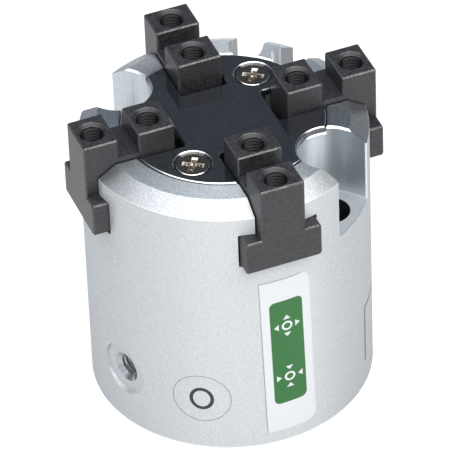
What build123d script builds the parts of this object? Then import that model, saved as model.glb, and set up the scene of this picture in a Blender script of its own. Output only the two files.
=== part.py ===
from build123d import *
import math
import os

# Four-finger parallel gripper, double acting, with a round body.
# Origin at the centre of the mounting face, +Z towards the fingers, millimetres.
# Fingers point along +X, +Y, -X and -Y, and are drawn at mid-stroke.

# Strokes
finger_travel = 2.0            # each way from mid-stroke
piston_travel = 4.0            # each way from mid-stroke

# Clearances
slide_side_gap = 0.3           # finger flank to guide wall
slide_top_gap = 0.1            # finger shoulder to guide roof
slide_floor_gap = 0.4          # finger base to guide floor
stop_gap = 0.2                 # left at the end of a stroke by a metal stop
bumper_gap = 0.1               # left at the end of a stroke by a bumper
running_gap = 0.3              # round piece sliding in a bore
wedge_gap = 0.15               # hook in its slanted groove
seat_gap = 0.05                # piece resting in its seat
bolt_gap = 0.25                # bolt in a through hole
bolt_tip_gap = 1.0             # bolt tip to the end of its hole
overcut = 1.0                  # a cutting shape reaches this far past a face

# End plate
plate_thickness = 1.5
plate_edge_break = 0.3
plate_side_gap = 0.2
plate_slot_corner = 0.6
plate_rim = 5.85               # screw axis to plate edge

# Wedge cam
cam_radius = 12.7
cam_height = 12.6
cam_edge_break = 0.5
cam_face_inset = 1.1           # slanted face behind the cam's round, at mid height of the bases

# Guide bush, rod seal and its retainer, stacked under the cam chamber
gland_lip = 1.4
gland_radius = 8.5
bush_length = 3.0
rod_seal_height = 3.0
retainer_thickness = 1.0
rod_radius = 6.0
rod_pilot_radius = 4.4
rod_pilot_length = 2.0
rod_edge_break = 0.3
bumper_thickness = 1.2
bumper_margin = 3.0            # bumper edge to bore wall

# Piston
bore_radius = 18.0
piston_land = 1.0
wear_ring_height = 1.8
magnet_height = 1.9
piston_seal_height = 1.8
groove_depth = 2.2
piston_edge_break = 0.5

# Cam bolt, M5
bolt_radius = 2.5
bolt_length = 30.0
bolt_head_radius = 4.25
bolt_head_height = 5.0
bolt_socket_width = 4.0
bolt_socket_depth = 2.5
bolt_edge_break = 0.4

# Bottom cap and its retaining ring
boss_radius = 12.0
boss_height = 4.9
cap_thickness = 6.5
cap_edge_break = 0.5
cap_ring_section = 1.0         # radius of the O-ring's section
cap_ring_squeeze = 0.1         # share of the section taken up by the groove
cap_ring_side_gap = 0.2
ring_thickness = 1.5
ring_width = 2.4
ring_bite = 1.2                # depth of the groove in the bore wall
ring_opening = 50.0            # degrees
ring_lug_radius = 1.9
ring_lug_hole = 0.8
bottom_recess = 2.3

# Mounting bolts, M8, in counterbored pockets open to the side
mount_hole_radius = 4.2
mount_inner_wall = 2.6
mount_outer_wall = 2.0
mount_angle = 42.5
pocket_radius = 6.9
pocket_depth = 17.3
pocket_edge_break = 0.4

# Sensor grooves
sensor_cut_radius = 3.4
sensor_cut_inset = 6.7         # end centre of the cut, in from the outside
sensor_cut_spread = 11.75      # degrees either side of their middle
sensor_cut_middle = 134.5
sensor_slot_radius = 2.2
sensor_slot_inset = 6.5
sensor_slot_bite = 1.0         # depth of the round slot in the cut's wall

# Body outside
cone_width = 4.0               # cone between the side and the flat rim
cone_drop = 2.6                # height of the cone
foot_break = 0.2
bore_edge_break = 0.5
seat_edge_break = 0.3          # rim round the end plate's seat

# Fingers
finger_width = 10.0
finger_overhang = 2.3
finger_rise = 6.0
notch_rise = 1.4
outer_pad_length = 7.8
notch_length = 4.5
inner_pad_length = 8.1
finger_hole_inset = 3.75
finger_hole_spacing = 12.5
finger_hole_radius = 2.5       # M5
finger_hole_depth = 11.0
finger_hole_mouth = 0.7
finger_edge_break = 0.3
neck_depth = 6.9
base_width = 17.2
base_height = 8.1
base_corner = 0.8
base_mitre = 1.2
hook_neck = 1.6
hook_head = 1.6
hook_neck_width = 4.8
hook_head_width = 8.0

# End plate screws, M4, cross recess
screw_radius = 2.0
screw_wall = 1.25              # screw hole to cam chamber
screw_head_radius = 3.65
screw_sink_radius = 4.3
screw_head_drop = 0.35
screw_length = 8.0
screw_tip_break = 0.4
screw_angle = 135.0
recess_length = 4.8
recess_width = 1.3
recess_depth = 1.5
recess_turn = 12.0

# Air ports, M5, in flat spot faces
port_radius = 2.5
port_thread_length = 6.5
port_bore_radius = 1.2
port_face_radius = 6.15
port_face_depth = 1.0
port_mouth = 1.0
open_port_angle = -70.5
open_port_rise = 3.7           # above the cap's disc
close_port_angle = 199.5
close_port_drop = 1.9          # below the partition

# Locating hole in the mounting face
dowel_radius = 2.0
dowel_depth = 5.0
dowel_angle = 315.0

# Side label
label_width = 11.6
label_height = 42.5
label_bottom = 3.2
label_angle = 2.2
label_tilt = 1.4
label_corner = 2.5
label_thickness = 0.12

tiny = 1e-3                    # tolerance when edges are picked by place
quarters = (0, 90, 180, 270)

# Radial stack, from the axis outwards
chamber_radius = cam_radius + running_gap
screw_circle = chamber_radius + screw_wall + screw_radius
plate_radius = screw_circle + plate_rim
mount_circle = bore_radius + mount_inner_wall + mount_hole_radius
body_radius = mount_circle + mount_hole_radius + mount_outer_wall
rim_radius = body_radius - cone_width
finger_outer = body_radius + finger_overhang
finger_inner = finger_outer - outer_pad_length - notch_length - inner_pad_length
plate_slot_end = finger_inner - finger_travel - stop_gap
groove_radius = bore_radius + ring_bite
slot_half = finger_width / 2 + slide_side_gap
guide_half = base_width / 2 + slide_side_gap

# Axial stack, as depths below the top face
cam_top = plate_thickness + running_gap + piston_travel
cam_bottom = cam_top + cam_height
chamber_floor = cam_bottom + piston_travel + stop_gap
gland_top = chamber_floor + gland_lip
seal_top = gland_top + bush_length
retainer_top = seal_top + rod_seal_height
partition_bottom = retainer_top + retainer_thickness
rod_bumper_bottom = partition_bottom + bumper_thickness
piston_top = rod_bumper_bottom + bumper_gap + piston_travel
piston_length = 4 * piston_land + wear_ring_height + magnet_height + piston_seal_height
piston_bottom = piston_top + piston_length
cap_bumper_top = piston_bottom + piston_travel + bumper_gap
boss_top = cap_bumper_top + bumper_thickness
cap_top = boss_top + boss_height
cap_bottom = cap_top + cap_thickness
ring_groove_bottom = cap_bottom + ring_thickness + 2 * seat_gap
body_height = ring_groove_bottom + bottom_recess
bolt_seat = piston_bottom - bolt_head_height - bumper_gap

# Wedge: the slanted faces move out by one finger stroke per piston stroke
wedge_slope = finger_travel / piston_travel
wedge_middle = neck_depth + base_height / 2
wedge_face = cam_radius - cam_face_inset


def level(depth):
    """Height of a point that lies so far below the top face."""
    return body_height - depth


def turned(points):
    """Solid turned about Z from its half section, given as (radius, height) points."""
    outline = Plane.XZ * Polyline(*points, points[0])
    return revolve(make_face(outline), Axis.Z)


def ring(inner, outer, low, high):
    """Plain ring between two heights."""
    return turned([(inner, low), (outer, low), (outer, high), (inner, high)])


def upright(radius, low, high, x=0.0, y=0.0):
    """Vertical cylinder between two heights."""
    return Pos(x, y, (low + high) / 2) * Cylinder(radius, high - low)


def side_slab(points, width):
    """Solid of even width across Y, from an outline of (x, z) points."""
    outline = Plane.XZ * Polyline(*points, points[0])
    return extrude(make_face(outline), amount=width / 2, both=True)


def turn(angle, part):
    """The part turned about Z."""
    return Rot(0, 0, angle) * part


def slanted_radius(depth, offset=0.0):
    """Radius of the finger's slanted inner face at a depth, or a face parallel to it."""
    return wedge_face + offset + wedge_slope * (depth - wedge_middle)


def slanted_slab(inner, outer, top, bottom, width):
    """Slab between two faces parallel to the slanted face, offset inner and outer from it."""
    points = [
        (slanted_radius(bottom, inner), level(bottom)),
        (slanted_radius(bottom, outer), level(bottom)),
        (slanted_radius(top, outer), level(top)),
        (slanted_radius(top, inner), level(top)),
    ]
    return side_slab(points, width)


def u_slot(centre, radius, reach, low, high):
    """Vertical cut with a round inner end, running out along X."""
    cut = upright(radius, low, high, centre)
    run = Pos(centre + reach / 2, 0, (low + high) / 2) * Box(reach, 2 * radius, high - low)
    return cut + run


def finger_guide():
    """T-shaped guide for two opposite fingers, cut right across the body along X."""
    roof = level(neck_depth - slide_top_gap)
    floor = level(neck_depth + base_height + slide_floor_gap)
    high = body_height + overcut
    slot = [(-slot_half, roof), (slot_half, roof), (slot_half, high), (-slot_half, high)]
    neck = make_face(Plane.YZ * Polyline(*slot, slot[0]))
    tee = RectangleRounded(2 * guide_half, roof - floor, base_corner / 2)
    tee = Plane.YZ * Pos(0, (roof + floor) / 2) * tee
    return extrude(neck + tee, amount=body_radius + overcut, both=True)


def mount_cut():
    """Pocket for a bolt head with the bolt's hole below it, on the X axis."""
    pocket = u_slot(mount_circle, pocket_radius, body_radius, level(pocket_depth), body_height + overcut)
    return pocket + upright(mount_hole_radius, -overcut, body_height, mount_circle)


def sensor_cut():
    """Open groove with a round slot in one wall that holds the sensor, on the X axis."""
    middle = body_radius - sensor_cut_inset
    groove = u_slot(middle, sensor_cut_radius, body_radius, -overcut, body_height + overcut)
    side = sensor_cut_radius + sensor_slot_bite - sensor_slot_radius
    centre = body_radius - sensor_slot_inset
    return groove + upright(sensor_slot_radius, -overcut, body_height + overcut, centre, side)


def pocket_rim_cut():
    """Bevel that a pointed tool leaves along a pocket's rim in the top face, on the X axis."""
    low = body_height - pocket_edge_break
    high = body_height + overcut
    wide = pocket_radius + high - low
    end = turned([(0, low), (pocket_radius, low), (wide, high), (0, high)])
    sides = [(-pocket_radius, low), (pocket_radius, low), (wide, high), (-wide, high)]
    run = extrude(make_face(Plane.YZ * Polyline(*sides, sides[0])), amount=body_radius)
    return Pos(mount_circle, 0, 0) * (end + run)


def pocket_mouth_cut():
    """Bevel where a pocket runs out through the side, on the X axis."""
    floor = level(pocket_depth)
    corner = math.sqrt(body_radius ** 2 - pocket_radius ** 2)
    wedge = [
        (corner - pocket_edge_break - overcut, pocket_radius - overcut),
        (corner + overcut, pocket_radius - overcut),
        (corner + overcut, pocket_radius + pocket_edge_break + overcut),
    ]
    side = Pos(0, 0, floor) * extrude(make_face(Polyline(*wedge, wedge[0])), amount=pocket_depth + overcut)
    sill = turned([
        (body_radius - pocket_edge_break, floor),
        (body_radius + overcut, floor),
        (body_radius + overcut, floor - pocket_edge_break - overcut),
    ])
    sill &= Pos(body_radius, 0, floor) * Box(body_radius, 2 * pocket_radius, pocket_depth)
    return side + mirror(side, about=Plane.XZ) + sill


def break_seat_rims(body):
    """Bevel along the pockets' rims where they cut the seat of the end plate."""
    rims = []
    for edge in body.edges():
        middle = edge.position_at(0.5)
        if abs(middle.Z - level(plate_thickness)) > tiny:
            continue
        for angle in (mount_angle, mount_angle + 180):
            local = middle.rotate(Axis.Z, -angle)
            if abs(math.hypot(local.X - mount_circle, local.Y) - pocket_radius) < tiny:
                rims.append(edge)
    return chamfer(rims, pocket_edge_break)


def port_cut(height):
    """Threaded port on the X axis: spot face, countersunk thread and bore."""
    face = body_radius - port_face_depth
    points = [
        (0, bore_radius - overcut),
        (port_bore_radius, bore_radius - overcut),
        (port_bore_radius, face - port_thread_length - port_radius + port_bore_radius),
        (port_radius, face - port_thread_length),
        (port_radius, face - port_mouth),
        (port_radius + port_mouth, face),
        (port_face_radius, face),
        (port_face_radius, body_radius + overcut),
        (0, body_radius + overcut),
    ]
    return Pos(0, 0, height) * Rot(0, 90, 0) * turned(points)


def screw_cut():
    """Tapped hole for an end plate screw, on the X axis."""
    bottom = level(screw_head_drop + screw_length + screw_radius)
    return upright(screw_radius + seat_gap, bottom, body_height, screw_circle) + screw_sink()


def screw_sink():
    """Cone that the screw head sinks into, from the top face down, on the X axis."""
    points = [
        (0, level(screw_sink_radius)),
        (screw_sink_radius, body_height),
        (screw_sink_radius, body_height + overcut),
        (0, body_height + overcut),
    ]
    return Pos(screw_circle, 0, 0) * turned(points)


def make_body():
    """Machined housing: finger guides on top, cylinder bore below."""
    section = [
        (bore_radius + bore_edge_break, 0),
        (body_radius - foot_break, 0),
        (body_radius, foot_break),
        (body_radius, level(cone_drop)),
        (rim_radius, body_height),
        (plate_radius + seat_edge_break, body_height),
        (plate_radius, level(seat_edge_break)),
        (plate_radius, level(plate_thickness)),
        (chamber_radius, level(plate_thickness)),
        (chamber_radius, level(chamber_floor)),
        (rod_radius + running_gap, level(chamber_floor)),
        (rod_radius + running_gap, level(gland_top)),
        (gland_radius, level(gland_top)),
        (gland_radius, level(partition_bottom)),
        (bore_radius, level(partition_bottom)),
        (bore_radius, level(cap_bottom)),
        (groove_radius, level(cap_bottom)),
        (groove_radius, level(ring_groove_bottom)),
        (bore_radius, level(ring_groove_bottom)),
        (bore_radius, bore_edge_break),
    ]
    body = turned(section)
    for angle in (0, 90):
        body -= turn(angle, finger_guide())
    for angle in (mount_angle, mount_angle + 180):
        body -= turn(angle, mount_cut() + pocket_rim_cut() + pocket_mouth_cut())
    for angle in (sensor_cut_middle - sensor_cut_spread, sensor_cut_middle + sensor_cut_spread):
        body -= turn(angle, sensor_cut())
    for angle in (screw_angle, screw_angle + 180):
        body -= turn(angle, screw_cut())
    body -= turn(open_port_angle, port_cut(level(cap_top - open_port_rise)))
    body -= turn(close_port_angle, port_cut(level(partition_bottom + close_port_drop)))
    body -= turn(dowel_angle, upright(dowel_radius, -overcut, dowel_depth, mount_circle))
    return break_seat_rims(body)


def make_end_plate():
    """Round cover over the wedge, with slots for the four finger necks."""
    low = level(plate_thickness)
    plate = upright(plate_radius - plate_side_gap, low, body_height)
    slot_length = plate_radius - plate_slot_end + 2 * plate_slot_corner
    slot_middle = plate_slot_end + slot_length / 2
    slot_shape = Pos(slot_middle, 0) * RectangleRounded(slot_length, 2 * slot_half, plate_slot_corner)
    slot = Pos(0, 0, low) * extrude(slot_shape, amount=plate_thickness)
    for angle in quarters:
        plate -= turn(angle, slot)
    below = low - overcut
    scallop = u_slot(mount_circle, pocket_radius + seat_gap, body_radius, below, body_height + overcut)
    for angle in (mount_angle, mount_angle + 180):
        plate -= turn(angle, scallop)
    top_edges = plate.faces().sort_by(Axis.Z)[-1].edges()
    plate = chamfer(top_edges, plate_edge_break)
    for angle in (screw_angle, screw_angle + 180):
        hole = upright(screw_radius + running_gap, below, body_height, screw_circle)
        plate -= turn(angle, hole + screw_sink())
    return plate


def make_plate_screw():
    """Countersunk screw with a cross recess, on the X axis."""
    top = level(screw_head_drop)
    cone = screw_head_radius - screw_radius
    points = [
        (0, top - screw_length),
        (screw_radius - screw_tip_break, top - screw_length),
        (screw_radius, top - screw_length + screw_tip_break),
        (screw_radius, top - cone),
        (screw_head_radius, top),
        (0, top),
    ]
    screw = turned(points)
    for angle in (0, 90):
        wing = [
            (-recess_length / 2, top),
            (-recess_width / 2, top - recess_depth),
            (recess_width / 2, top - recess_depth),
            (recess_length / 2, top),
        ]
        screw -= turn(angle, side_slab(wing, recess_width))
    return Pos(screw_circle, 0, 0) * turn(recess_turn, screw)


def make_finger():
    """Finger along X: two pads on a neck, a sliding base and a slanted hook for the cam."""
    pads_top = body_height + finger_rise
    notch = body_height + notch_rise
    outer_step = finger_outer - outer_pad_length
    inner_step = outer_step - notch_length
    foot = level(neck_depth + base_height / 2)
    profile = [
        (finger_inner, foot),
        (finger_outer, foot),
        (finger_outer, pads_top),
        (outer_step, pads_top),
        (outer_step, notch),
        (inner_step, notch),
        (inner_step, pads_top),
        (finger_inner, pads_top),
    ]
    upper = side_slab(profile, finger_width)
    sharp = [edge for edge in upper.edges() if edge.bounding_box().max.Z > pads_top - finger_edge_break]
    upper = chamfer(sharp, finger_edge_break)

    base_middle = level(neck_depth + base_height / 2)
    section = Plane.YZ * Pos(0, base_middle) * RectangleRounded(base_width, base_height, base_corner)
    base = extrude(section, amount=finger_outer)
    base = chamfer(base.faces().sort_by(Axis.X)[-1].edges(), finger_edge_break)
    top = neck_depth - overcut
    bottom = neck_depth + base_height + overcut
    base -= slanted_slab(-2 * wedge_face, 0, top, bottom, base_width + overcut)
    mitre_start = slanted_radius(neck_depth) + base_mitre
    corner = [
        (0, base_width / 2 - base_mitre - mitre_start),
        (mitre_start + overcut, base_width / 2 - base_mitre + overcut),
        (mitre_start + overcut, base_width),
        (0, base_width),
    ]
    for side in (1, -1):
        shape = Polyline(*[(x, side * y) for x, y in corner], (corner[0][0], side * corner[0][1]))
        base -= Pos(0, 0, level(bottom)) * extrude(make_face(shape), amount=bottom - top, dir=(0, 0, 1))

    finger = upper + base
    finger += slanted_slab(-hook_neck, base_mitre, neck_depth, neck_depth + base_height, hook_neck_width)
    head_inner = -hook_neck - hook_head
    finger += slanted_slab(head_inner, -hook_neck, neck_depth, neck_depth + base_height, hook_head_width)
    outer_hole = finger_outer - finger_hole_inset
    for radius in (outer_hole, outer_hole - finger_hole_spacing):
        finger -= Pos(radius, 0, 0) * thread_hole(pads_top)
    return finger


def thread_hole(top):
    """Tapped hole down from a face, with a countersunk mouth and a drill point."""
    bottom = top - finger_hole_depth
    points = [
        (0, bottom - finger_hole_radius / 2),
        (finger_hole_radius, bottom),
        (finger_hole_radius, top - finger_hole_mouth),
        (finger_hole_radius + finger_hole_mouth, top),
        (finger_hole_radius + finger_hole_mouth, top + overcut),
        (0, top + overcut),
    ]
    return turned(points)


def make_wedge_cam():
    """Round cam with four slanted faces, each with a T-groove for a finger's hook."""
    low = level(cam_bottom)
    high = level(cam_top)
    points = [
        (0, low),
        (cam_radius, low),
        (cam_radius, high - cam_edge_break),
        (cam_radius - cam_edge_break, high),
        (0, high),
    ]
    cam = turned(points)
    above = cam_top - overcut
    below = cam_bottom + overcut
    for angle in quarters:
        cam -= turn(angle, slanted_slab(-2 * wedge_gap, cam_radius, above, below, 2 * cam_radius))
    neck_width = hook_neck_width + 2 * wedge_gap
    head_width = hook_head_width + 2 * wedge_gap
    head_inner = -hook_neck - hook_head - wedge_gap
    head_outer = wedge_gap - hook_neck
    for angle in quarters:
        cam -= turn(angle, slanted_slab(-hook_neck - wedge_gap, cam_radius, above, below, neck_width))
        cam -= turn(angle, slanted_slab(head_inner, head_outer, above, below, head_width))
    tip = bolt_seat - bolt_length
    cam -= upright(bolt_radius + seat_gap, low, level(tip) + bolt_tip_gap)
    cam -= upright(rod_pilot_radius + seat_gap, low, low + rod_pilot_length + seat_gap)
    return cam


def make_piston_rod():
    """Hollow rod between cam and piston, with a pilot at each end."""
    low = level(piston_top)
    high = level(cam_bottom)
    bolt_hole = bolt_radius + bolt_gap
    points = [
        (bolt_hole, low - rod_pilot_length),
        (rod_pilot_radius, low - rod_pilot_length),
        (rod_pilot_radius, low),
        (rod_radius - rod_edge_break, low),
        (rod_radius, low + rod_edge_break),
        (rod_radius, high - rod_edge_break),
        (rod_radius - rod_edge_break, high),
        (rod_pilot_radius, high),
        (rod_pilot_radius, high + rod_pilot_length),
        (bolt_hole, high + rod_pilot_length),
    ]
    return turned(points)


def piston_groove(index):
    """Top and bottom heights of a piston groove, counted from the rod side."""
    heights = (wear_ring_height, magnet_height, piston_seal_height)
    top = level(piston_top) - (index + 1) * piston_land - sum(heights[:index])
    return top, top - heights[index]


def make_piston():
    """Piston with grooves for wear ring, magnet and seal."""
    low = level(piston_bottom)
    high = level(piston_top)
    outer = bore_radius - running_gap
    inner = outer - groove_depth
    points = [
        (bolt_head_radius + bolt_gap, low),
        (outer - piston_edge_break, low),
        (outer, low + piston_edge_break),
    ]
    for index in (2, 1, 0):
        top, bottom = piston_groove(index)
        points += [(outer, bottom), (inner, bottom), (inner, top), (outer, top)]
    points += [
        (outer, high - piston_edge_break),
        (outer - piston_edge_break, high),
        (rod_pilot_radius + seat_gap, high),
        (rod_pilot_radius + seat_gap, high - rod_pilot_length - seat_gap),
        (bolt_radius + bolt_gap, high - rod_pilot_length - seat_gap),
        (bolt_radius + bolt_gap, level(bolt_seat)),
        (bolt_head_radius + bolt_gap, level(bolt_seat)),
    ]
    return turned(points)


def make_groove_ring(index, proud):
    """Ring that fills a piston groove and stands proud of the piston."""
    top, bottom = piston_groove(index)
    inner = bore_radius - running_gap - groove_depth + seat_gap
    return ring(inner, bore_radius - running_gap + proud, bottom + seat_gap, top - seat_gap)


def make_piston_seal():
    """Piston seal with a lip on each side of a hollow back."""
    top, bottom = piston_groove(2)
    inner = bore_radius - running_gap - groove_depth + seat_gap
    outer = bore_radius - running_gap + running_gap / 4
    low = bottom + seat_gap
    high = top - seat_gap
    middle = (low + high) / 2
    quarter = (high - low) / 4
    points = [
        (inner, low),
        (outer, low),
        (outer, low + quarter),
        (outer - quarter, middle),
        (outer, high - quarter),
        (outer, high),
        (inner, high),
    ]
    return turned(points)


def make_cam_bolt():
    """Socket head bolt from the piston's underside up into the cam."""
    seat = level(bolt_seat)
    head_low = seat - bolt_head_height
    tip = seat + bolt_length
    points = [
        (0, head_low),
        (bolt_head_radius - bolt_edge_break, head_low),
        (bolt_head_radius, head_low + bolt_edge_break),
        (bolt_head_radius, seat),
        (bolt_radius, seat),
        (bolt_radius, tip - bolt_edge_break),
        (bolt_radius - bolt_edge_break, tip),
        (0, tip),
    ]
    bolt = turned(points)
    socket = RegularPolygon(bolt_socket_width / 2, 6, major_radius=False)
    return bolt - Pos(0, 0, head_low) * extrude(socket, amount=bolt_socket_depth)


def make_rod_bush():
    """Plain bearing that guides the rod."""
    return ring(rod_radius + running_gap / 2, gland_radius - seat_gap, level(seal_top), level(gland_top))


def make_rod_seal():
    """U-shaped lip seal round the rod, open towards the piston."""
    low = level(retainer_top)
    high = level(seal_top) - seat_gap
    inner = rod_radius + running_gap / 2
    outer = gland_radius - seat_gap
    third = (outer - inner) / 3
    points = [
        (inner, low),
        (inner + third, low),
        (inner + third, high - third),
        (outer - third, high - third),
        (outer - third, low),
        (outer, low),
        (outer, high),
        (inner + third / 2, high),
        (inner, high - third),
    ]
    return turned(points)


def make_seal_retainer():
    """Washer under the rod seal."""
    low = level(partition_bottom)
    return ring(rod_radius + running_gap, gland_radius - seat_gap, low, low + retainer_thickness - seat_gap)


def make_rod_bumper():
    """Soft stop between piston and partition."""
    edge = bore_radius - bumper_margin
    return ring(rod_radius + 2 * running_gap, edge, level(rod_bumper_bottom), level(partition_bottom))


def make_cap_bumper():
    """Soft stop on the boss of the bottom cap."""
    return ring(bolt_head_radius + running_gap, boss_radius, level(boss_top), level(cap_bumper_top))


def cap_groove_middle():
    """Height of the middle of the O-ring groove in the cap."""
    return level((cap_top + cap_bottom) / 2)


def make_bottom_cap():
    """Turned cap that closes the bore, with a boss that carries the bumper."""
    low = level(cap_bottom)
    outer = bore_radius - seat_gap
    groove = cap_groove_middle()
    half = cap_ring_section + cap_ring_side_gap
    inner = outer - 2 * cap_ring_section * (1 - cap_ring_squeeze)
    points = [
        (0, low),
        (outer - cap_edge_break, low),
        (outer, low + cap_edge_break),
        (outer, groove - half),
        (inner, groove - half),
        (inner, groove + half),
        (outer, groove + half),
        (outer, level(cap_top) - cap_edge_break),
        (outer - cap_edge_break, level(cap_top)),
        (boss_radius, level(cap_top)),
        (boss_radius, level(boss_top)),
        (0, level(boss_top)),
    ]
    return turned(points)


def make_cap_oring():
    """O-ring of the cap, squeezed a little between groove and bore."""
    outer = bore_radius - seat_gap
    squeezed = cap_ring_section * (1 - cap_ring_squeeze)
    height = cap_groove_middle()
    section = Plane.XZ * Pos(outer - squeezed, height) * Ellipse(squeezed - seat_gap, cap_ring_section)
    return revolve(section, Axis.Z)


def make_retaining_ring():
    """Spring ring with two eared ends, in the groove under the cap."""
    low = level(cap_bottom) - seat_gap - ring_thickness
    outer = groove_radius - seat_gap
    inner = outer - ring_width
    band = Circle(outer) - Circle(inner)
    half = math.radians(ring_opening / 2)
    far = 2 * outer
    gap = Polyline((0, 0), (far, far * math.tan(half)), (far, -far * math.tan(half)), (0, 0))
    band -= make_face(gap)
    lug_circle = bore_radius - ring_lug_radius - seat_gap
    holes = Sketch()
    for side in (1, -1):
        place = Rot(0, 0, side * ring_opening / 2) * Pos(lug_circle, 0)
        band += place * Circle(ring_lug_radius)
        holes += place * Circle(ring_lug_hole)
    return Pos(0, 0, low) * extrude(band - holes, amount=ring_thickness)


def make_side_label():
    """Thin curved label on the cylinder, leaning a little, two of its corners rounded."""
    low = label_bottom - label_width
    high = label_bottom + label_height + label_width
    shell = ring(body_radius, body_radius + label_thickness, low, high)
    outline = Rectangle(label_width, label_height)
    right = outline.vertices().sort_by(Axis.X)[-2:]
    outline = fillet(right, label_corner)
    middle = label_bottom + label_height / 2
    placed = Plane.YZ.offset(body_radius / 2) * Pos(0, middle) * Rot(0, 0, label_tilt) * outline
    return turn(label_angle, shell & extrude(placed, amount=body_radius))


def save(part, name):
    """Write one piece, or a group of like pieces."""
    part.label = name
    export_step(part, "parts/" + name + ".step")


def main():
    os.makedirs("parts", exist_ok=True)
    save(make_body(), "body")
    save(make_end_plate(), "end_plate")
    screws = [turn(angle, make_plate_screw()) for angle in (screw_angle, screw_angle + 180)]
    save(Compound(screws), "end_plate_screws")
    finger = make_finger()
    for index in range(4):
        save(turn(90 * index, finger), "finger_" + str(index + 1))
    save(make_wedge_cam(), "wedge_cam")
    save(make_piston_rod(), "piston_rod")
    save(make_piston(), "piston")
    save(make_groove_ring(0, running_gap / 4), "piston_wear_ring")
    save(make_groove_ring(1, -running_gap), "piston_magnet")
    save(make_piston_seal(), "piston_seal")
    save(make_cam_bolt(), "cam_bolt")
    save(make_rod_bush(), "rod_bush")
    save(make_rod_seal(), "rod_seal")
    save(make_seal_retainer(), "seal_retainer")
    save(make_rod_bumper(), "rod_side_bumper")
    save(make_cap_bumper(), "cap_side_bumper")
    save(make_bottom_cap(), "bottom_cap")
    save(make_cap_oring(), "cap_oring")
    save(make_retaining_ring(), "retaining_ring")
    save(make_side_label(), "side_label")


main()
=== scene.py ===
import bpy
import math
from mathutils import Matrix, Vector


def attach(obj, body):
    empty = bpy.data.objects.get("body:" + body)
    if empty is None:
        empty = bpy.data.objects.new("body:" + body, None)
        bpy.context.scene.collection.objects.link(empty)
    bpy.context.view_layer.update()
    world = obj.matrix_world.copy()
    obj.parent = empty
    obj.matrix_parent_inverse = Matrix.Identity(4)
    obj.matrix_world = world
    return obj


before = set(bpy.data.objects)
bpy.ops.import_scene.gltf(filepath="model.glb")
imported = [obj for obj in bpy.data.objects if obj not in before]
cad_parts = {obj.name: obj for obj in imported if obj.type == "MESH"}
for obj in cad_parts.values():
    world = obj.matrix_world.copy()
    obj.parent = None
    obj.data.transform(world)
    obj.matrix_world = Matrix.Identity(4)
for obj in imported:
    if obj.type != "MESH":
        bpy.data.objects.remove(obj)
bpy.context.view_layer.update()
mm = 0.001

# Lengths are in millimetres and angles in degrees, unless a note says otherwise.
# Colours are linear. A noise is given as scale, detail, stretch and roughness,
# and a band as the values where a ramp starts and ends.

# Sizes of the gripper, as in its solids
gripper = {
    "bodyRadius": 31.0,
    "rimRadius": 27.0,
    "boreRadius": 18.0,
    "top": 66.4,
    "coneDrop": 2.6,
    "pocketAngle": 42.5,
    "pocketRadius": 6.9,
    "pocketMiddle": 24.8,
    "pocketFloor": 49.1,
    "openPort": (-70.5, 14.1),
    "closePort": (199.5, 33.5),
    "fingerAngles": (0, 90, 180, 270),
    "fingerHoles": (29.55, 17.05),
}
print("frame loaded:", len(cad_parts), "nodes")


# Helpers for modelling

def clearSelection():
    if bpy.context.object and bpy.context.object.mode != "OBJECT":
        bpy.ops.object.mode_set(mode="OBJECT")
    bpy.ops.object.select_all(action="DESELECT")


def pick(piece):
    clearSelection()
    bpy.context.view_layer.objects.active = piece
    piece.select_set(True)


def fixPlace(piece):
    pick(piece)
    bpy.ops.object.transform_apply(location=True, rotation=True, scale=True)
    piece.select_set(False)


def applyModifiers(piece):
    pick(piece)
    for modifier in list(piece.modifiers):
        bpy.ops.object.modifier_apply(modifier=modifier.name)
    piece.select_set(False)


def copyOf(piece, name):
    twin = piece.copy()
    twin.data = piece.data.copy()
    twin.name = name
    bpy.context.scene.collection.objects.link(twin)
    return twin


def selectWhere(mesh, kind, test):
    # in edit mode: selects the edges or polygons that pass a test
    bpy.ops.mesh.select_all(action="DESELECT")
    bpy.ops.object.mode_set(mode="OBJECT")
    for item in getattr(mesh, kind):
        item.select = bool(test(item))
    bpy.ops.object.mode_set(mode="EDIT")


def aroundAxis(radius, angle, height):
    # a point in metres, from its radius, angle and height
    turn = math.radians(angle)
    return radius * mm * math.cos(turn), radius * mm * math.sin(turn), height * mm


# Camera, at the photograph's angle. Its place and its clip range are in metres.

camera = {
    "place": (0.76983, -0.28802, 0.72571),
    "turn": 69.523,
    "height": 39.969,
    "roll": -2.279,
    "lens": 397.16,
    "sensor": 36.0,
    "clip": (0.01, 20),
}


def makeCamera():
    turn = math.radians(camera["turn"])
    height = math.radians(camera["height"])
    roll = math.radians(camera["roll"])
    level = math.cos(height)
    back = Vector((math.sin(turn) * level, -math.cos(turn) * level, math.sin(height)))
    right = Vector((math.cos(turn), math.sin(turn), 0))
    up = back.cross(right)
    across = right * math.cos(roll) + up * math.sin(roll)
    upwards = up * math.cos(roll) - right * math.sin(roll)
    axes = Matrix((across, upwards, back)).transposed().to_4x4()
    bpy.ops.object.camera_add()
    body = bpy.context.object
    body.name = "camera"
    body.matrix_world = Matrix.Translation(camera["place"]) @ axes
    body.data.lens = camera["lens"]
    body.data.sensor_width = camera["sensor"]
    body.data.clip_start, body.data.clip_end = camera["clip"]
    bpy.context.scene.camera = body


clearSelection()
makeCamera()
print("camera placed")


# Materials. Shader sums are written as plain Python: each operator adds its Math node.

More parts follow.
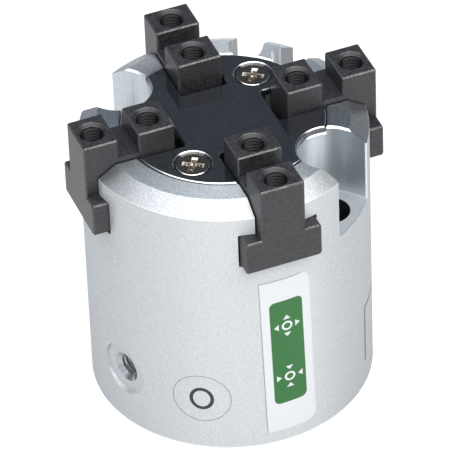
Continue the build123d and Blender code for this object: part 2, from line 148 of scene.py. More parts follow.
class Signal:
    def __init__(self, finish, link):
        self.finish = finish
        self.link = link

    def maths(self, operation, *inputs, clamp=False):
        return self.finish.node("ShaderNodeMath", inputs, operation=operation, use_clamp=clamp)

    def output(self, name):
        return Signal(self.finish, self.link.node.outputs[name])

    def __add__(self, other):
        return self.maths("ADD", self, other)

    def __sub__(self, other):
        return self.maths("SUBTRACT", self, other)

    def __rsub__(self, other):
        return self.maths("SUBTRACT", other, self)

    def __mul__(self, other):
        return self.maths("MULTIPLY", self, other)

    def __pow__(self, other):
        return self.maths("POWER", self, other)

    def __abs__(self):
        return self.maths("ABSOLUTE", self)

    def __gt__(self, other):
        return self.maths("GREATER_THAN", self, other)

    def __lt__(self, other):
        return self.maths("LESS_THAN", self, other)

    def __and__(self, other):
        return self.maths("MINIMUM", self, other)

    def __or__(self, other):
        return self.maths("MAXIMUM", self, other)

    def __invert__(self):
        return 1 - self

    def ramp(self, low, high):
        # 0 below low and 1 above high
        share = 1 / (high - low)
        return self.maths("MULTIPLY_ADD", self, share, -low * share, clamp=True)

    def between(self, low, high):
        return (self > low) & (self < high)


def distance(along, across):
    return (along * along + across * across) ** 0.5


class Finish:
    def __init__(self, name, tree=None):
        if tree is None:
            self.material = bpy.data.materials.new(name)
            self.material.use_nodes = True
            tree = self.material.node_tree
            self.surface = tree.nodes["Principled BSDF"]
        self.nodes = tree.nodes
        self.links = tree.links

    def node(self, kind, inputs=(), output=0, **settings):
        made = self.nodes.new(kind)
        for name, value in settings.items():
            setattr(made, name, value)
        self.feed(made, inputs)
        return Signal(self, made.outputs[output])

    def feed(self, made, inputs):
        pairs = inputs.items() if isinstance(inputs, dict) else enumerate(inputs)
        for name, value in pairs:
            socket = made.inputs[name]
            if isinstance(value, Signal):
                self.links.new(value.link, socket)
            elif socket.type == "RGBA" and len(value) == 3:
                socket.default_value = (*value, 1)
            else:
                socket.default_value = value

    def shade(self, inputs):
        self.feed(self.surface, inputs)

    def locate(self):
        # the place on the piece in millimetres, as a vector and as x, y and z
        metres = self.node("ShaderNodeTexCoord", output="Object")
        values = {0: metres, "Scale": 1 / mm}
        self.place = self.node("ShaderNodeVectorMath", values, operation="SCALE")
        self.x = self.node("ShaderNodeSeparateXYZ", [self.place])
        self.y = self.x.output("Y")
        self.z = self.x.output("Z")

    def radius(self):
        return distance(self.x, self.y)

    def turned(self, angle):
        # distance along a direction from the axis, and across it
        turn = math.radians(angle)
        along = self.x * math.cos(turn) + self.y * math.sin(turn)
        across = self.y * math.cos(turn) - self.x * math.sin(turn)
        return along, across

    def normal(self):
        # the true normal's X; its Y and Z are outputs of the same node
        geometry = self.node("ShaderNodeNewGeometry", output="True Normal")
        return self.node("ShaderNodeSeparateXYZ", [geometry])

    def blend(self, factor, first, second):
        # a Mix node takes its colours at sockets 6 and 7 and gives one at output 2
        values = {0: factor, 6: first, 7: second}
        return self.node("ShaderNodeMix", values, output=2, data_type="RGBA")

    def noise(self, scale, detail, stretch=(1, 1, 1), roughness=0.5):
        where = self.node("ShaderNodeMapping", {"Vector": self.place, "Scale": stretch})
        values = {"Vector": where, "Scale": scale, "Detail": detail, "Roughness": roughness}
        return self.node("ShaderNodeTexNoise", values)

    def lines(self, along):
        # fine lines across a direction, such as a turning tool leaves
        values = {"W": along, "Detail": 2.0}
        return self.node("ShaderNodeTexNoise", values, noise_dimensions="1D")

    def bump(self, height, depth, strength=1.0):
        # depth in millimetres for a height of 1
        values = {"Height": height, "Distance": depth * mm, "Strength": strength}
        return self.node("ShaderNodeBump", values)


def newFinish(name):
    finish = Finish(name)
    finish.locate()
    return finish


def scaled(colour, share):
    return [value * share for value in colour]


def dress(finish, *names):
    for name in names:
        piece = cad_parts[name]
        if not piece.material_slots:
            piece.data.materials.append(finish.material)
        for slot in piece.material_slots:
            slot.material = finish.material


# Housing: bead-blasted and anodised outside, bare and bright where it was milled, with painted shade and
# painted highlights in places

housing = {
    "blasted": (0.80, 0.815, 0.82),
    "blastedDark": (0.60, 0.625, 0.645),
    "faced": (0.72, 0.745, 0.775),
    "facedDark": (0.50, 0.535, 0.57),
    "milled": (0.625, 0.66, 0.685),
    # the darker milled tone, also the colour of the painted shade on the rear of the top face
    "milledDarkAndShade": (0.515, 0.555, 0.58),
    # painted shade: near black inside the bolt holes
    "boltHoleShade": (0.09, 0.095, 0.10),
    # polished bevels, and painted highlight lines beside and below the pocket edges and at the cone's lower
    # corner
    "polishedAndHighlight": (0.92, 0.93, 0.94),
    # painted shade: a dark colour on the flat walls of the sensor cuts
    "cutWallShade": (0.27, 0.28, 0.295),
    "bored": (0.43, 0.45, 0.47),
    # painted light: a lighter colour on the rounded walls of the sensor cuts
    "slotWallLight": (0.84, 0.86, 0.88),
    "grain": (2.6, 3.0),
    "grainBand": (0.37, 0.63),
    "grainMiddle": 0.5,
    "wallGrain": 0.5,
    "streaks": (2.2, 4.0, (1, 1, 0.03), 0.6),
    "feed": (1.2, 3.0, (0.08, 0.08, 1)),
    "milledShares": (0.7, 0.3),
    "milledBand": (0.32, 0.68),
    "latheLines": 6,
    "facedShares": (0.75, 0.25),
    "facedBand": (0.38, 0.62),
    "skin": 0.06,
    "margin": 0.05,
    "slant": (0.6, 0.76),
    "sideways": 0.1,
    "bevel": 0.4,
    "pocketEdge": (0.03, 0.5),
    # painted highlights beside the pockets' vertical edges and along the foot of the pocket wall
    "pocketEdgeHighlight": 0.3,
    "sillLine": (0.15, 0.02),
    # painted highlight line where the cone meets the cylinder
    "cornerLine": 0.1,
    "cornerHighlight": 0.6,
    "seatRim": 22.6,
    "portMouth": 3.5,
    "portFace": 6.6,
    "cutMiddle": 134.5,
    "cutStart": 20.0,
    "cutWalls": (56.3, 32.7),
    "cutWallFacing": 0.999,
    "rearBand": (12, 24),
    "rearShade": 0.35,
    "bareRoughness": 0.40,
    "rougher": {"outside": 0.08, "wall": 0.06, "topFace": -0.03, "polishedAndHighlight": -0.16, "bored": -0.12},
    "lessMetal": {"wall": -0.40, "ledge": -0.45},
    "latheRelief": 2,
    "relief": (0.02, 0.6),
}


def housingMasks(finish):
    # where each kind of surface is: 1 on it and 0 elsewhere
    radius = finish.radius()
    margin = housing["margin"]
    belowTop = gripper["top"] - finish.z
    coneWidth = gripper["bodyRadius"] - gripper["rimRadius"]
    cone = belowTop * (coneWidth / gripper["coneDrop"]) + gripper["rimRadius"]
    skinRadius = cone & gripper["bodyRadius"]
    topFace = belowTop < margin
    normal = finish.normal()
    upward = normal.output("Z")
    slanted = upward.between(*housing["slant"])
    sideways = abs(upward) < housing["sideways"]

    portAngle, portHeight = gripper["openPort"]
    portAlong, portAcross = finish.turned(portAngle)
    fromPort = distance(portAcross, finish.z - portHeight)
    atPort = portAlong > gripper["boreRadius"]
    spotFace = fromPort.between(housing["portMouth"], housing["portFace"]) & atPort
    outside = (radius > skinRadius - housing["skin"]) | topFace | spotFace

    # the two bolt pockets lie on one line through the axis
    along, across = finish.turned(gripper["pocketAngle"])
    inward = (abs(along) - gripper["pocketMiddle"]) & 0
    fromPocket = distance(inward, across) - gripper["pocketRadius"]
    height = finish.z - gripper["pocketFloor"]
    reach = housing["bevel"] + margin
    nearPocket = (fromPocket < reach) & (height > -reach)
    ledge = nearPocket & (height < margin) & (upward > housing["slant"][0])
    # painted highlight: a strip on the cylinder beside each pocket's vertical edges, and a thin line at the
    # foot of the pocket wall
    edgeGap, edgeDepth = housing["pocketEdge"]
    upright = sideways & (fromPocket > edgeGap) & (radius > skinRadius - edgeDepth)
    sillHeight, sillWidth = housing["sillLine"]
    sill = (height < sillHeight) & (abs(fromPocket) < sillWidth)
    pocketBevelsAndHighlights = nearPocket & ~ledge & (slanted | upright * housing["pocketEdgeHighlight"] | sill)
    # painted shade inside the bolt holes below the pocket floor
    boltHoleShade = (fromPocket < 0) & (height < -margin) & (radius > housing["cutStart"])

    toCut = finish.turned(housing["cutMiddle"])[0]
    inCut = (toCut > housing["cutStart"]) & ~outside
    # painted shade on the flat walls of the sensor cuts, found by the way they face
    cutWallShade = 0
    for angle in housing["cutWalls"]:
        turn = math.radians(angle)
        facing = normal * math.cos(turn) + normal.output("Y") * math.sin(turn)
        cutWallShade = (facing > housing["cutWallFacing"]) * inCut + cutWallShade

    # painted highlight: a thin bright line where the cone meets the cylinder
    onCorner = abs(belowTop - gripper["coneDrop"]) < housing["cornerLine"]
    cornerLine = (radius > gripper["bodyRadius"] - housing["cornerLine"]) & onCorner
    seatRim = slanted & (radius < housing["seatRim"]) & (belowTop < housing["bevel"])
    return {
        "topFace": topFace,
        "outside": outside,
        "wall": (radius > gripper["bodyRadius"] - housing["skin"]) | spotFace,
        "ledge": ledge,
        # painted shade: the top face is darker towards the rear
        "rearTopShade": toCut.ramp(*housing["rearBand"]) * topFace,
        "cutWallShade": cutWallShade,
        "bored": (fromPort < housing["portMouth"]) & atPort,
        # painted light on the rounded walls of the sensor cuts
        "slotWallLight": inCut * sideways - cutWallShade,
        "boltHoleShade": boltHoleShade & sideways & ~outside,
        # polished bevels, and painted highlight lines
        "polishedAndHighlight": pocketBevelsAndHighlights | cornerLine * housing["cornerHighlight"] | seatRim,
    }


def weighted(start, masks, weights):
    total = start
    for name, weight in weights.items():
        total = masks[name] * weight + total
    return total


def housingFinish():
    finish = newFinish("anodisedAluminium")
    masks = housingMasks(finish)
    topFace = masks["topFace"]
    outside = masks["outside"]

    grain = finish.noise(*housing["grain"])
    calmer = 1 - masks["wall"] * (1 - housing["wallGrain"])
    speckle = (grain - housing["grainMiddle"]) * calmer + housing["grainMiddle"]
    streaks = finish.noise(*housing["streaks"])
    feed = finish.noise(*housing["feed"])
    lathe = finish.lines(finish.radius() * housing["latheLines"])
    streakShare, feedShare = housing["milledShares"]
    grainShare, latheShare = housing["facedShares"]
    milling = (streaks * streakShare + feed * feedShare).ramp(*housing["milledBand"])
    facing = (grain * grainShare + lathe * latheShare).ramp(*housing["facedBand"])

    blasted = finish.blend(speckle.ramp(*housing["grainBand"]), housing["blastedDark"], housing["blasted"])
    milled = finish.blend(milling, housing["milledDarkAndShade"], housing["milled"])
    faced = finish.blend(facing, housing["facedDark"], housing["faced"])
    colour = finish.blend(topFace, finish.blend(outside, milled, blasted), faced)
    # painted shade: the rear of the top face is blended towards the darker milled colour
    colour = finish.blend(masks["rearTopShade"] * housing["rearShade"], colour, housing["milledDarkAndShade"])
    for name in ("cutWallShade", "bored", "slotWallLight", "boltHoleShade", "polishedAndHighlight"):
        colour = finish.blend(masks[name], colour, housing[name])
    relief = speckle * outside + streaks * ~outside + lathe * topFace * housing["latheRelief"]
    finish.shade({
        "Base Color": colour,
        "Metallic": weighted(1, masks, housing["lessMetal"]),
        "Anisotropic": 0.85,
        "Anisotropic Rotation": 0.25,
        "Roughness": weighted(housing["bareRoughness"], masks, housing["rougher"]),
        "Normal": finish.bump(relief, *housing["relief"]),
    })
    return finish


# End plate: polished black

plate = {
    "black": (0.006, 0.0072, 0.0105),
    "hazeLift": 1.25,
    "worn": (0.85, 0.86, 0.88),
    "dustColour": (0.30, 0.33, 0.36),
    "wearDepth": 0.17,
    "wearSlope": (0.3, 0.95),
    "speckle": (3.2, 3.0),
    "speckleBand": (0.40, 0.75),
    "speckleShare": 0.04,
    "flecks": (1.9, 2.0),
    "fleckBand": (0.71, 0.77),
    "fleckShare": 0.4,
    "haze": (0.25, 3.0),
    "hazeBand": (0.3, 0.7),
    "roughness": 0.09,
    "hazeRoughness": 0.05,
    "wornRoughness": 0.12,
}


def plateFinish():
    finish = newFinish("polishedBlack")
    slope = finish.normal().output("Z").between(*plate["wearSlope"])
    bevel = slope & (finish.z > gripper["top"] - plate["wearDepth"])
    speckle = finish.noise(*plate["speckle"]).ramp(*plate["speckleBand"])
    flecks = finish.noise(*plate["flecks"]).ramp(*plate["fleckBand"])
    dust = flecks * plate["fleckShare"] + speckle * plate["speckleShare"]
    haze = finish.noise(*plate["haze"]).ramp(*plate["hazeBand"])
    colour = finish.blend(haze, plate["black"], scaled(plate["black"], plate["hazeLift"]))
    colour = finish.blend(dust, colour, plate["dustColour"])
    finish.shade({
        "Base Color": finish.blend(bevel, colour, plate["worn"]),
        "Metallic": bevel,
        "Roughness": haze * plate["hazeRoughness"] + plate["roughness"] + bevel * plate["wornRoughness"],
        "Specular IOR Level": 0.4,
        "Coat Weight": 1 - bevel,
        "Coat Roughness": 0.06,
        "Coat IOR": 1.72,
    })
    return finish


# Fingers: phosphated steel, bright where the edges are worn, and brighter on upward edges as painted
# highlight

fingers = {
    "steel": (0.040, 0.0385, 0.0425),
    "steelDark": (0.0055, 0.0055, 0.007),
    "rub": (0.12, 0.114, 0.116),
    "edge": (0.19, 0.185, 0.18),
    "mottle": (1.4, 5.0, (1, 1, 1), 0.62),
    "fine": (3.2, 2.0),
    "grainShare": 0.5,
    "grainBand": (0.40, 0.60),
    "holeMouth": 3.1,
    "edgeSlope": 0.92,
    "ticks": (3.4, 2.0),
    "tickBand": (0.40, 0.60),
    "edgeWear": 0.08,
    "tickWear": 0.30,
    "upperTickHighlight": 0.42,
    "upperSlope": 0.3,
    "rubs": (2.2, 4.0, (1, 1, 0.6), 0.7),
    "rubBand": (0.60, 0.72),
    "rubShare": 0.25,
    "roughness": 0.34,
    "mottleRoughness": 0.24,
    "wearRoughness": 0.1,
    "relief": (0.02, 0.5),
}


def fingerFinish():
    finish = newFinish("phosphatedSteel")
    normal = finish.normal()
    upward = normal.output("Z")
    steepest = abs(normal) | abs(normal.output("Y")) | abs(upward)
    along = abs(finish.x) | abs(finish.y)
    across = abs(finish.x) & abs(finish.y)
    bevel = steepest < fingers["edgeSlope"]
    for middle in gripper["fingerHoles"]:
        bevel = bevel & (distance(along - middle, across) > fingers["holeMouth"])
    mottle = finish.noise(*fingers["mottle"])
    fine = finish.noise(*fingers["fine"])
    ticks = finish.noise(*fingers["ticks"]).ramp(*fingers["tickBand"])
    # worn edges, with extra brightness on the upward-facing bevels as painted highlight
    tickWear = (upward > fingers["upperSlope"]) * fingers["upperTickHighlight"] + fingers["tickWear"]
    edgeWearAndHighlight = bevel * (ticks * tickWear + fingers["edgeWear"])
    rubbed = finish.noise(*fingers["rubs"]).ramp(*fingers["rubBand"]) * fingers["rubShare"]
    grain = (mottle * fingers["grainShare"] + fine * fingers["grainShare"]).ramp(*fingers["grainBand"])
    colour = finish.blend(grain, fingers["steelDark"], fingers["steel"])
    colour = finish.blend(rubbed, colour, fingers["rub"])
    roughness = mottle * fingers["mottleRoughness"] + fingers["roughness"]
    finish.shade({
        "Base Color": finish.blend(edgeWearAndHighlight, colour, fingers["edge"]),
        "Metallic": edgeWearAndHighlight,
        "Roughness": roughness - edgeWearAndHighlight * fingers["wearRoughness"],
        "Specular IOR Level": 0.65,
        "Normal": finish.bump(fine + mottle, *fingers["relief"]),
    })
    return finish


# Screws: a dark head colour as painted reflection, bright at the rim, and a recess worn bright in patches
# with painted highlight and painted shade

screws = {
    "headDarkReflection": (0.055, 0.050, 0.046),
    # painted shade deep in the cross recess
    "recess": (0.09, 0.063, 0.042),
    # bright near the recess mouth as painted highlight, and in worn patches
    "recessWornAndHighlight": (0.93, 0.88, 0.82),
    "rim": (0.75, 0.73, 0.70),
    "head": 66.05,
    "circle": 16.25,
    "angle": -45.0,
    "recessRadius": 2.5,
    "recessTop": 0.03,
    "mouthBand": (-0.42, -0.26),
    "patches": (1.6, 3.0),
    "patchBand": (0.50, 0.58),
    "patchShare": 0.75,
    "rimBand": (3.30, 3.62),
    "rimStart": 0.1,
    "rimDrop": 0.3,
    "scratches": (3.5, 4.0),
    "scratchBand": (0.3, 0.7),
    "scratchDrop": 0.02,
    "headDarkReflectionMetal": 0.5,
    "recessMetal": 0.6,
    "roughness": 0.16,
    "scratchRoughness": 0.12,
    "recessRoughness": 0.2,
}


def screwFinish():
    finish = newFinish("brightZinc")
    along, across = finish.turned(screws["angle"])
    fromScrew = distance(abs(along) - screws["circle"], across)
    aboveHead = finish.z - screws["head"]
    recess = (fromScrew < screws["recessRadius"]) & (aboveHead < -screws["recessTop"])
    scratch = finish.noise(*screws["scratches"])
    rim = fromScrew.ramp(*screws["rimBand"])
    # painted shade: the recess is dark deep down; painted highlight: bright near its mouth; the bright
    # patches are wear
    mouth = aboveHead.ramp(*screws["mouthBand"])
    patches = finish.noise(*screws["patches"]).ramp(*screws["patchBand"]) * screws["patchShare"]
    recessWornAndShaded = finish.blend(mouth | patches, screws["recess"], screws["recessWornAndHighlight"])
    worn = finish.blend(recess, screws["rim"], recessWornAndShaded)
    bright = recess | (rim > screws["rimStart"])
    metal = bright * (1 - screws["headDarkReflectionMetal"]) + screws["headDarkReflectionMetal"]
    roughness = scratch.ramp(*screws["scratchBand"]) * screws["scratchRoughness"] + screws["roughness"]
    finish.shade({
        # painted reflection: the head is dark, apart from its rim and recess
        "Base Color": finish.blend(bright, screws["headDarkReflection"], worn),
        "Metallic": metal - recess * (1 - screws["recessMetal"]),
        "Roughness": roughness + recess * screws["recessRoughness"],
        "Normal": finish.bump(scratch * screws["scratchDrop"] - rim * screws["rimDrop"], 1.0),
    })
    return finish


# Label: white film with a green field that shows the jaws open and closed

label = {
    "angle": 2.2,
    "low": 3.2,
    "height": 42.5,
    "tilt": 1.4,
    "field": (3.8, 14.4),
    "fieldMiddle": 0.8,
    "fieldCorner": 1.4,
    "openSign": 8.0,
    "closedSign": -6.4,
    "arrow": (1.9, 3.0),
    "arrowSpread": 0.8,
    "ring": (0.75, 1.25),
    "green": (0.024, 0.18, 0.035),
    "white": (0.93, 0.95, 0.96),
    "cutEdge": (-5.66, 21.1),
    "shaded": (0.40, 0.43, 0.43),
    "fade": (2.5, 3.0),
    "fadeRoughness": 0.1,
    "roughness": 0.28,
}


def labelSign(across, rise, outward):
    # a ring with four arrowheads, which point away from it or towards it
    inner, outer = label["arrow"]
    reach = abs(across) | abs(rise)
    beside = abs(across) & abs(rise)
    fromTip = outer - reach if outward else reach - inner
    heads = (beside < fromTip * label["arrowSpread"]) & reach.between(inner, outer)
    return heads | distance(across, rise).between(*label["ring"])


def labelFinish():
    finish = newFinish("printedFilm")
    angle = finish.y.maths("ARCTAN2", finish.y, finish.x) - math.radians(label["angle"])
    flatX = angle * gripper["bodyRadius"]
    flatZ = finish.z - (label["low"] + label["height"] / 2)
    tilt = math.radians(label["tilt"])
    across = flatX * math.cos(tilt) + flatZ * math.sin(tilt)
    upwards = flatZ * math.cos(tilt) - flatX * math.sin(tilt)

    corner = label["fieldCorner"]
    halfWidth, halfHeight = label["field"]
    sideX = (abs(across) - (halfWidth - corner)) | 0
    sideZ = (abs(upwards - label["fieldMiddle"]) - (halfHeight - corner)) | 0
    field = distance(sideX, sideZ) < corner
    openSign = labelSign(across, upwards - label["openSign"], True)
    closedSign = labelSign(across, upwards - label["closedSign"], False)
    ink = field & ~(openSign | closedSign)
    left, top = label["cutEdge"]
    # painted shadow: a thin grey line along the film's left and top edges
    colour = finish.blend((across < left) | (upwards > top), label["white"], label["shaded"])
    finish.shade({
        "Base Color": finish.blend(ink, colour, label["green"]),
        "Roughness": finish.noise(*label["fade"]) * label["fadeRoughness"] + label["roughness"],
        "Specular IOR Level": 0.5,
    })
    return finish


# Pieces inside. Metals have a light and a dark colour and a roughness, soft ones no dark colour.

inner = {
    "turnedAluminium": ((0.66, 0.68, 0.70), (0.50, 0.52, 0.54), 0.28),
    "groundSteel": ((0.36, 0.36, 0.37), (0.26, 0.26, 0.27), 0.24),
    "springSteel": ((0.10, 0.10, 0.105), (0.07, 0.07, 0.0735), 0.38),
    "bearingBronze": ((0.52, 0.33, 0.16), (0.416, 0.264, 0.128), 0.3),
    "magnetPlating": ((0.05, 0.05, 0.055), (0.04, 0.04, 0.044), 0.35),
    "nitrileRubber": ((0.018, 0.018, 0.019), 0.5),
    "bumperRubber": ((0.42, 0.20, 0.06), 0.45),
    "bearingPlastic": ((0.30, 0.27, 0.20), 0.4),
}

turnedLook = {
    "rings": (3.0, 3.0),
    "linesOut": 4,
    "linesUp": 3,
    "shares": (0.7, 0.3),
    "band": (0.35, 0.65),
    "lineRoughness": 0.1,
    "relief": (0.01, 0.5),
}

softLook = {
    "grain": (4.0, 4.0),
    "band": (0.3, 0.7),
    "dark": 0.8,
    "grainRoughness": 0.15,
    "relief": (0.02, 0.4),
}


def turnedFinish(name, light, dark, roughness):
    finish = newFinish(name)
    rings = finish.noise(*turnedLook["rings"])
    lathe = finish.lines(finish.radius() * turnedLook["linesOut"] + finish.z * turnedLook["linesUp"])
    latheShare, ringShare = turnedLook["shares"]
    mixed = (lathe * latheShare + rings * ringShare).ramp(*turnedLook["band"])
    finish.shade({
        "Base Color": finish.blend(mixed, dark, light),
        "Metallic": 1.0,
        "Roughness": lathe * turnedLook["lineRoughness"] + roughness,
        "Normal": finish.bump(lathe, *turnedLook["relief"]),
    })
    return finish


def softFinish(name, colour, roughness):
    finish = newFinish(name)
    grain = finish.noise(*softLook["grain"])
    finish.shade({
        "Base Color": finish.blend(grain.ramp(*softLook["band"]), scaled(colour, softLook["dark"]), colour),
        "Roughness": grain * softLook["grainRoughness"] + roughness,
        "Normal": finish.bump(grain, *softLook["relief"]),
    })
    return finish


def dressInside(kind, name, *pieces):
    dress(kind(name, *inner[name]), *pieces)


dress(housingFinish(), "body")
dress(plateFinish(), "end_plate")
dress(fingerFinish(), "finger_1", "finger_2", "finger_3", "finger_4")
dress(screwFinish(), "end_plate_screws")
dress(labelFinish(), "side_label")
dressInside(turnedFinish, "turnedAluminium", "bottom_cap", "piston")
dressInside(turnedFinish, "groundSteel", "wedge_cam", "piston_rod", "cam_bolt", "seal_retainer")
dressInside(turnedFinish, "springSteel", "retaining_ring")
dressInside(turnedFinish, "bearingBronze", "rod_bush")
dressInside(turnedFinish, "magnetPlating", "piston_magnet")
dressInside(softFinish, "nitrileRubber", "piston_seal", "rod_seal", "cap_oring")
dressInside(softFinish, "bumperRubber", "rod_side_bumper", "cap_side_bumper")
dressInside(softFinish, "bearingPlastic", "piston_wear_ring")
print("CAD nodes dressed")


# Screw threads: one ridge is wound down the wall of each hole

threads = {
    "wall": 2.55,
    "crest": 2.12,
    "width": 0.74,
    "pitch": 0.8,
    "steps": 28,
    "smoothing": 35,
    "fingerStart": 71.35,
    "fingerTurns": 12,
    "steel": ((0.036, 0.035, 0.036), (0.012, 0.012, 0.013), 0.36),
    "portStart": 28.85,
    "portTurns": 7,
    "aluminium": ((0.36, 0.36, 0.37), (0.26, 0.26, 0.27), 0.25),
}


def makeThread(name, turns):
    # wound downwards round Z from the origin, with a corner towards the axis
    # a triangle in a circle is 1.5 radii deep and the root of 3 radii wide
    radius = (threads["wall"] - threads["crest"]) / 1.5
    middle = threads["wall"] - radius / 2
    stretch = threads["width"] / (radius * math.sqrt(3))
    clearSelection()
    bpy.ops.mesh.primitive_circle_add(
        vertices=3, radius=radius * mm, fill_type="NOTHING", location=(middle * mm, 0, 0),
        rotation=(math.radians(90), math.radians(-90), 0))
    piece = bpy.context.object
    piece.name = name
    fixPlace(piece)
    pick(piece)
    bpy.ops.object.mode_set(mode="EDIT")
    bpy.ops.mesh.select_all(action="SELECT")
    bpy.ops.transform.resize(value=(1, 1, stretch))
    bpy.ops.object.mode_set(mode="OBJECT")
    winding = piece.modifiers.new("winding", "SCREW")
    winding.axis = "Z"
    winding.angle = math.tau
    winding.screw_offset = -threads["pitch"] * mm
    winding.iterations = turns
    winding.steps = winding.render_steps = threads["steps"]
    winding.use_merge_vertices = False
    applyModifiers(piece)
    pick(piece)
    bpy.ops.object.mode_set(mode="EDIT")
    bpy.ops.mesh.select_all(action="DESELECT")
    bpy.ops.mesh.select_mode(type="EDGE")
    bpy.ops.mesh.select_non_manifold()
    bpy.ops.mesh.fill_holes(sides=3)
    bpy.ops.mesh.select_all(action="SELECT")
    bpy.ops.mesh.normals_make_consistent(inside=False)
    bpy.ops.object.mode_set(mode="OBJECT")
    bpy.ops.object.shade_smooth_by_angle(angle=math.radians(threads["smoothing"]))
    return piece


def makeFingerThreads():
    pattern = makeThread("threadPattern", threads["fingerTurns"])
    finish = turnedFinish("tappedSteel", *threads["steel"])
    for index, angle in enumerate(gripper["fingerAngles"]):
        for place, radius in zip(("outer", "inner"), gripper["fingerHoles"]):
            thread = copyOf(pattern, "thread_" + str(index + 1) + "_" + place)
            thread.location = aroundAxis(radius, angle, threads["fingerStart"])
            fixPlace(thread)
            thread.data.materials.append(finish.material)
            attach(thread, "jaw_" + str(index + 1))
    bpy.data.objects.remove(pattern)


def makePortThreads():
    pattern = makeThread("portPattern", threads["portTurns"])
    finish = turnedFinish("tappedAluminium", *threads["aluminium"])
    for index, port in enumerate(("openPort", "closePort")):
        angle, height = gripper[port]
        thread = copyOf(pattern, "port_thread_" + str(index + 1))
        thread.rotation_euler = (0, math.radians(90), math.radians(angle))
        thread.location = aroundAxis(threads["portStart"], angle, height)
        fixPlace(thread)
        thread.data.materials.append(finish.material)
        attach(thread, "housing")
    bpy.data.objects.remove(pattern)


makeFingerThreads()
makePortThreads()
print("threads wound")


# Marks on the housing: thin strips laid on the cylinder

marks = {
    "signAngle": -33.5,
    "signHeight": 13.85,
    "circleSize": (6.42, 6.42),
    "circleLine": 0.13,
    "circlePoints": 96,
    "letterSize": (2.7, 3.05),
    "letterLine": 0.8,
    "letterPoints": 64,
    "frameAngle": 70.4,
    "frameSize": (23.7, 16.2),
    "frameMiddle": 13.6,
    "frameCorner": 0.6,
    "frameLine": 0.65,
    "frameLongEdge": 3,
    "frameCuts": 24,
    "standOff": 2,
    "proud": 0.02,
    "ink": ((0.035, 0.037, 0.042), 0.5),
    "line": ((0.20, 0.205, 0.215), 0.5),
}


def layOnCylinder(piece, angle, height):
    # the piece is drawn flat, with +Z outwards and +X to the right as seen from outside
    pick(piece)
    piece.rotation_euler = (math.radians(90), 0, math.radians(angle + 90))
    piece.location = aroundAxis(gripper["bodyRadius"] + marks["standOff"], angle, height)
    bpy.context.view_layer.update()
    wrap = piece.modifiers.new("wrap", "SHRINKWRAP")
    wrap.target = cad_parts["body"]
    wrap.wrap_method = "PROJECT"
    wrap.use_project_z = True
    wrap.use_positive_direction = False
    wrap.use_negative_direction = True
    wrap.offset = marks["proud"] * mm
    applyModifiers(piece)
    fixPlace(piece)
    skin = piece.modifiers.new("thickness", "SOLIDIFY")
    skin.thickness = marks["proud"] * mm
    skin.offset = -1
    applyModifiers(piece)
    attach(piece, "housing")


def drawRing(name, size, line, points):
    # size is half the width and half the height
    clearSelection()
    bpy.ops.mesh.primitive_circle_add(vertices=points, radius=1, fill_type="NOTHING")
    piece = bpy.context.object
    piece.name = name
    bpy.ops.object.mode_set(mode="EDIT")
    bpy.ops.mesh.select_all(action="SELECT")
    bpy.ops.transform.resize(value=(size[0] * mm, size[1] * mm, 1))
    bpy.ops.mesh.extrude_region_move()
    bpy.ops.transform.resize(value=(1 - line / size[0], 1 - line / size[1], 1))
    bpy.ops.mesh.select_all(action="SELECT")
    bpy.ops.mesh.normals_make_consistent(inside=False)
    bpy.ops.object.mode_set(mode="OBJECT")
    return piece


def drawFrame(name, size, corner, line):
    # a rectangle's outline, open at its lowest side
    lowest = (corner - size[1] / 2) * mm
    longest = marks["frameLongEdge"] * mm
    clearSelection()
    bpy.ops.mesh.primitive_plane_add(size=1)
    piece = bpy.context.object
    piece.name = name
    bpy.ops.object.mode_set(mode="EDIT")
    bpy.ops.mesh.select_all(action="SELECT")
    bpy.ops.transform.resize(value=(size[0] * mm, size[1] * mm, 1))
    bpy.ops.mesh.bevel(offset=corner * mm, segments=1, affect="VERTICES", offset_type="OFFSET")
    bpy.ops.mesh.inset(thickness=line * mm)
    bpy.ops.mesh.delete(type="FACE")
    bpy.ops.mesh.select_mode(type="FACE")
    selectWhere(piece.data, "polygons", lambda face: face.center.y < lowest)
    bpy.ops.mesh.delete(type="FACE")
    bpy.ops.mesh.select_mode(type="EDGE")

    def isLong(edge):
        first, second = [piece.data.vertices[index].co for index in edge.vertices]
        return (first - second).length > longest

    selectWhere(piece.data, "edges", isLong)
    bpy.ops.mesh.subdivide(number_cuts=marks["frameCuts"])
    bpy.ops.object.mode_set(mode="OBJECT")
    return piece


def makeMarks():
    ink = softFinish("laserMark", *marks["ink"])
    line = softFinish("laserLine", *marks["line"])
    letter = drawRing("open_port_sign", marks["letterSize"], marks["letterLine"], marks["letterPoints"])
    circle = drawRing("open_port_circle", marks["circleSize"], marks["circleLine"], marks["circlePoints"])
    border = drawFrame("side_frame_line", marks["frameSize"], marks["frameCorner"], marks["frameLine"])
    for piece, finish in ((letter, ink), (circle, line), (border, line)):
        piece.data.materials.append(finish.material)
    layOnCylinder(letter, marks["signAngle"], marks["signHeight"])
    layOnCylinder(circle, marks["signAngle"], marks["signHeight"])
    layOnCylinder(border, marks["frameAngle"], marks["frameMiddle"])


makeMarks()
print("marks laid on the housing")


# Stage: pale floor, plain studio light. Its lengths are in metres.

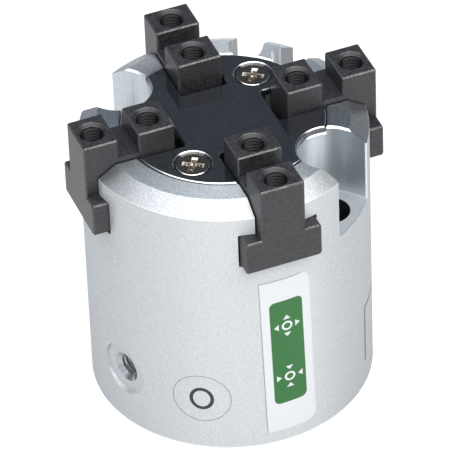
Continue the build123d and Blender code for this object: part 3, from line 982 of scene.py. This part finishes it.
stage = {
    "floorSize": 12.0,
    "floorDrop": 0.00002,
    "floorColour": (0.42, 0.421, 0.423),
    "floorLight": 0.75,
    "footBand": (0.030, 0.075),
    # painted shadow: how bright the floor is in reflections right at the foot
    "footLight": 0.72,
    "footMargin": 0.0001,
    "sky": (0.16, 0.19, 0.225),
    "horizon": (0.23, 0.245, 0.265),
    "skyBand": (0.10, 0.45),
    "white": (1, 1, 1),
    "brightSide": 235.0,
    "sideBand": (-0.7, 0.7),
    "sideLight": (0.6, 1.35),
    "aim": (0, 0, 0.04),
    "lamps": (
        # azimuth, elevation, distance, width, depth, power
        ("key", -20, 74, 0.58, 1.30, 0.72, 5.9),
        ("fill", 0, 41, 0.70, 1.35, 0.44, 3.5),
    ),
}


def floorGlow(finish, radius):
    # white behind the gripper, with a painted shadow that makes it darker in reflections close to its foot
    paths = finish.node("ShaderNodeLightPath")
    dim = stage["footLight"]
    foot = radius.ramp(*stage["footBand"]) * (1 - dim) + dim
    mirrored = (paths.output("Is Glossy Ray") | paths.output("Is Transmission Ray")) * foot
    seen = paths.output("Is Camera Ray") | mirrored
    return seen * (radius > gripper["bodyRadius"] * mm) * stage["floorLight"]


def makeFloor():
    clearSelection()
    bpy.ops.mesh.primitive_plane_add(size=stage["floorSize"], location=(0, 0, -stage["floorDrop"]))
    floor = bpy.context.object
    floor.name = "floor"
    finish = newFinish("paleFloor")
    radius = finish.radius() * mm
    finish.shade({
        "Base Color": stage["floorColour"],
        "Roughness": 1.0,
        "Specular IOR Level": 0.0,
        "Emission Color": stage["white"],
        "Emission Strength": floorGlow(finish, radius),
    })
    # clear from below and under the foot, so that the underside can be seen
    fromBelow = finish.node("ShaderNodeNewGeometry", output="Backfacing")
    underFoot = radius < gripper["bodyRadius"] * mm - stage["footMargin"]
    solid = Signal(finish, finish.surface.outputs[0])
    clear = finish.node("ShaderNodeBsdfTransparent")
    shown = finish.node("ShaderNodeMixShader", {0: fromBelow | underFoot, 1: solid, 2: clear})
    finish.feed(finish.nodes["Material Output"], {"Surface": shown})
    floor.data.materials.append(finish.material)


def makeLamps():
    for name, azimuth, elevation, distance, width, depth, power in stage["lamps"]:
        turn = math.radians(azimuth)
        rise = math.radians(elevation)
        level = math.cos(rise)
        away = Vector((math.cos(turn) * level, math.sin(turn) * level, math.sin(rise)))
        bpy.ops.object.light_add(type="AREA", location=away * distance + Vector(stage["aim"]))
        lamp = bpy.context.object
        lamp.name = name
        lamp.rotation_euler = away.to_track_quat("Z", "Y").to_euler()
        lamp.data.shape = "RECTANGLE"
        lamp.data.size = width
        lamp.data.size_y = depth
        lamp.data.energy = power


def makeSky():
    # dim, brighter on one side, and white where the camera looks straight at it
    world = bpy.data.worlds.new("studio")
    bpy.context.scene.world = world
    world.use_nodes = True
    sky = Finish("studio", world.node_tree)
    direction = sky.node("ShaderNodeTexCoord", output="Generated")
    across = sky.node("ShaderNodeSeparateXYZ", [direction])
    turn = math.radians(stage["brightSide"])
    side = across * math.cos(turn) + across.output("Y") * math.sin(turn)
    colour = sky.blend(across.output("Z").ramp(*stage["skyBand"]), stage["horizon"], stage["sky"])
    dim, bright = stage["sideLight"]
    strength = side.ramp(*stage["sideBand"]) * (bright - dim) + dim
    seen = sky.node("ShaderNodeLightPath", output="Is Camera Ray")
    background = world.node_tree.nodes["Background"]
    sky.feed(background, {"Color": sky.blend(seen, colour, stage["white"]), "Strength": strength | seen})


makeFloor()
makeLamps()
makeSky()
bpy.context.scene.view_settings.view_transform = "Standard"
print("stage lit")
